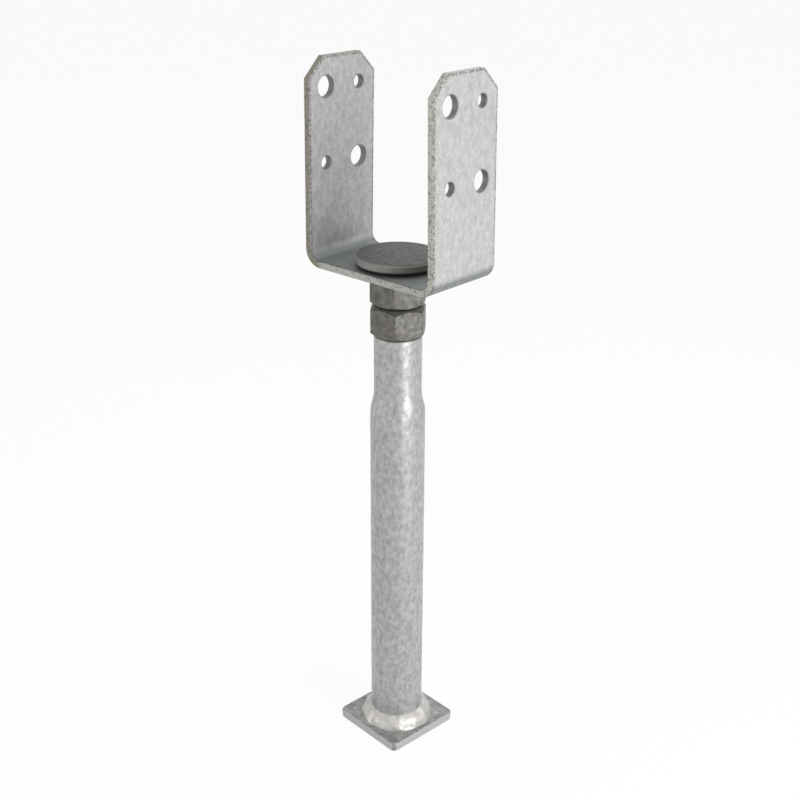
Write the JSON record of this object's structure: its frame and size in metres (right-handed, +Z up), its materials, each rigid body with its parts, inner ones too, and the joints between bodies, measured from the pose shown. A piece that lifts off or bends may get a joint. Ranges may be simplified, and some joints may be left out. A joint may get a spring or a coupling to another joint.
{
  "type": "adjustable timber post base",
  "caption": "Galvanised post base: a U-shaped yoke and a round bearing disc on an adjusting screw, in a tube welded to a square foot plate.",
  "frame": {"origin": "centre of the foot plate's underside, on the tube's axis", "axes": "+Z up along the tube, X across the yoke from arm to arm, Y along the yoke's width"},
  "size_m": [0.1128, 0.0654, 0.4914],
  "materials": {
    "plate_zinc": "rough hot-dip zinc, grey and pitted",
    "weld_zinc": "bright hot-dip zinc over a lumpy weld",
    "tube_zinc": "satin hot-dip zinc, mottled light grey",
    "nut_zinc": "dull dark grey zinc on a forged nut",
    "screw_zinc": "dull zinc on a cut thread",
    "disc_zinc": "dull dark grey zinc on a turned disc",
    "yoke_zinc": "hot-dip zinc on folded flat bar, mottled light grey"
  },
  "bodies": {
    "foot": {"foot_plate": "plate_zinc", "foot_weld": "weld_zinc", "riser_tube": "tube_zinc"},
    "adjusting_nut": {"lower_nut": "nut_zinc"},
    "screw": {"screw_rod": "screw_zinc", "upper_nut": "nut_zinc", "bearing_disc": "disc_zinc"},
    "yoke": {"yoke": "yoke_zinc"}
  },
  "joints": [
    {"name": "nut_turn", "type": "hinge", "parent": "foot", "child": "adjusting_nut", "pos_m": [0, 0, 0.3237], "axis": [0, 0, -1], "range_deg": [0, 7200]},
    {"name": "screw_lift", "type": "slide", "parent": "foot", "child": "screw", "axis": [0, 0, 1], "range_m": [0, 0.06]},
    {"name": "yoke_swivel", "type": "hinge", "parent": "screw", "child": "yoke", "pos_m": [0, 0, 0.3583], "axis": [0, 0, 1], "continuous": true}
  ],
  "couplings": [
    {"joint": "nut_turn", "follows": "screw_lift", "rad_per_m": 2094.4}
  ]
}
